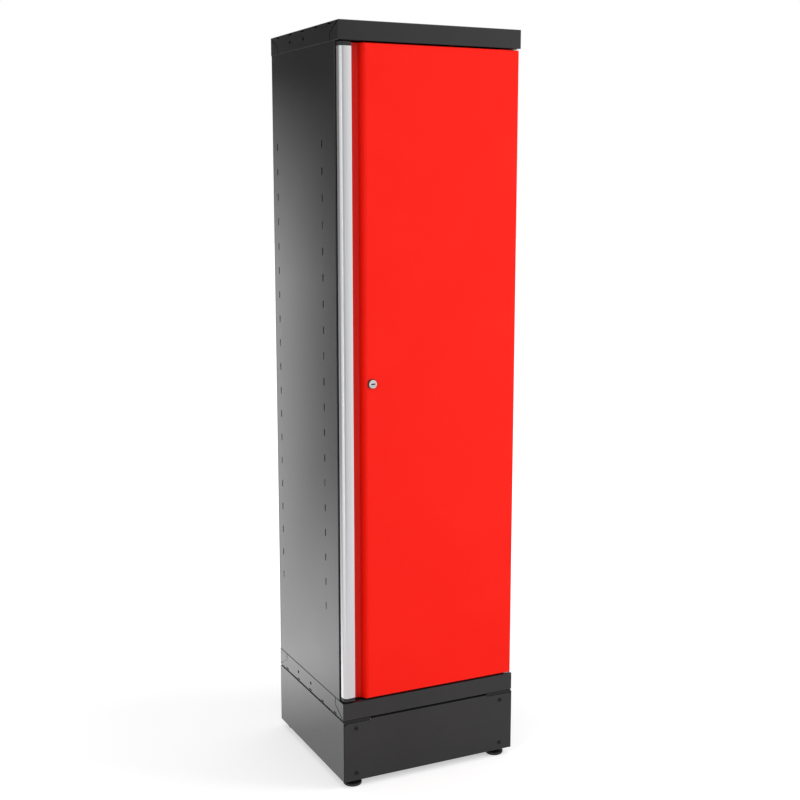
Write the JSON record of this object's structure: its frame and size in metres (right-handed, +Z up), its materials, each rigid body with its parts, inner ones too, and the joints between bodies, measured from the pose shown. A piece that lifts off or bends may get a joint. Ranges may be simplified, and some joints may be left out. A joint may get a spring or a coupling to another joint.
{
  "type": "tall workshop locker",
  "caption": "Tall narrow sheet-steel workshop locker with a full-height hinged door, aluminium edge handle, cam lock, adjustable shelves and a plinth on levelling feet.",
  "frame": {"origin": "middle of the footprint on the floor, under the middle of the box that holds the whole locker", "axes": "+Z up, +X to the right of a person who faces the door, -Y out of the door's front"},
  "size_m": [0.518, 0.4766, 2],
  "materials": {
    "graphite_paint": "satin powder coat",
    "red_paint": "smooth semi-gloss powder coat",
    "satin_aluminium": "satin anodised",
    "black_plastic": "moulded, fine texture",
    "black_rubber": "matt",
    "chrome": "polished",
    "zinc_plate": "bright zinc",
    "black_steel": "black zinc",
    "grey_nylon": "moulded"
  },
  "bodies": {
    "carcass": {"top_cap": "graphite_paint", "bottom_tray": "graphite_paint", "left_side_panel": "graphite_paint", "right_side_panel": "graphite_paint", "back_panel": "graphite_paint", "shelf_1": "graphite_paint", "shelf_2": "graphite_paint", "shelf_3": "graphite_paint", "shelf_4": "graphite_paint", "shelf_rail_1_left": "black_steel", "shelf_rail_1_right": "black_steel", "shelf_rail_2_left": "black_steel", "shelf_rail_2_right": "black_steel", "shelf_rail_3_left": "black_steel", "shelf_rail_3_right": "black_steel", "shelf_rail_4_left": "black_steel", "shelf_rail_4_right": "black_steel", "hinge_bush_bottom": "grey_nylon", "hinge_bush_top": "grey_nylon", "hinge_thrust_washer": "zinc_plate", "door_buffer_lower": "black_rubber", "door_buffer_upper": "black_rubber", "plinth_front_panel": "graphite_paint", "plinth_rear_panel": "graphite_paint", "plinth_left_side": "graphite_paint", "plinth_right_side": "graphite_paint", "foot_bracket_front_left": "black_steel", "foot_bracket_front_right": "black_steel", "foot_bracket_rear_left": "black_steel", "foot_bracket_rear_right": "black_steel", "plinth_screw_lower_left": "black_steel", "plinth_screw_upper_left": "black_steel", "plinth_screw_lower_right": "black_steel", "plinth_screw_upper_right": "black_steel", "foot_nut_front_left": "zinc_plate", "foot_nut_front_right": "zinc_plate", "foot_nut_rear_left": "zinc_plate", "foot_nut_rear_right": "zinc_plate"},
    "door": {"door_skin": "red_paint", "door_liner": "red_paint", "handle_profile": "satin_aluminium", "handle_cap_bottom": "black_plastic", "handle_cap_top": "black_plastic", "hinge_pin_bottom": "zinc_plate", "hinge_pin_top": "zinc_plate", "lock_housing": "chrome", "lock_nut": "zinc_plate"},
    "lock": {"lock_plug": "chrome", "lock_cam": "zinc_plate", "cam_screw": "zinc_plate"},
    "foot_front_left": {"foot_stud_front_left": "zinc_plate", "foot_pad_front_left": "black_plastic"},
    "foot_front_right": {"foot_stud_front_right": "zinc_plate", "foot_pad_front_right": "black_plastic"},
    "foot_rear_left": {"foot_stud_rear_left": "zinc_plate", "foot_pad_rear_left": "black_plastic"},
    "foot_rear_right": {"foot_stud_rear_right": "zinc_plate", "foot_pad_rear_right": "black_plastic"}
  },
  "joints": [
    {"name": "door_hinge", "type": "hinge", "parent": "carcass", "child": "door", "pos_m": [0.2435, -0.22025, 1.097], "axis": [0, 0, 1], "range_deg": [0, 110]},
    {"name": "lock_turn", "type": "hinge", "parent": "door", "child": "lock", "pos_m": [-0.171, -0.22, 1.097], "axis": [0, 1, 0], "range_deg": [0, 90]},
    {"name": "foot_front_left_screw", "type": "slide", "parent": "carcass", "child": "foot_front_left", "axis": [0, 0, -1], "range_m": [-0.005, 0.015]},
    {"name": "foot_front_right_screw", "type": "slide", "parent": "carcass", "child": "foot_front_right", "axis": [0, 0, -1], "range_m": [-0.005, 0.015]},
    {"name": "foot_rear_left_screw", "type": "slide", "parent": "carcass", "child": "foot_rear_left", "axis": [0, 0, -1], "range_m": [-0.005, 0.015]},
    {"name": "foot_rear_right_screw", "type": "slide", "parent": "carcass", "child": "foot_rear_right", "axis": [0, 0, -1], "range_m": [-0.005, 0.015]}
  ]
}
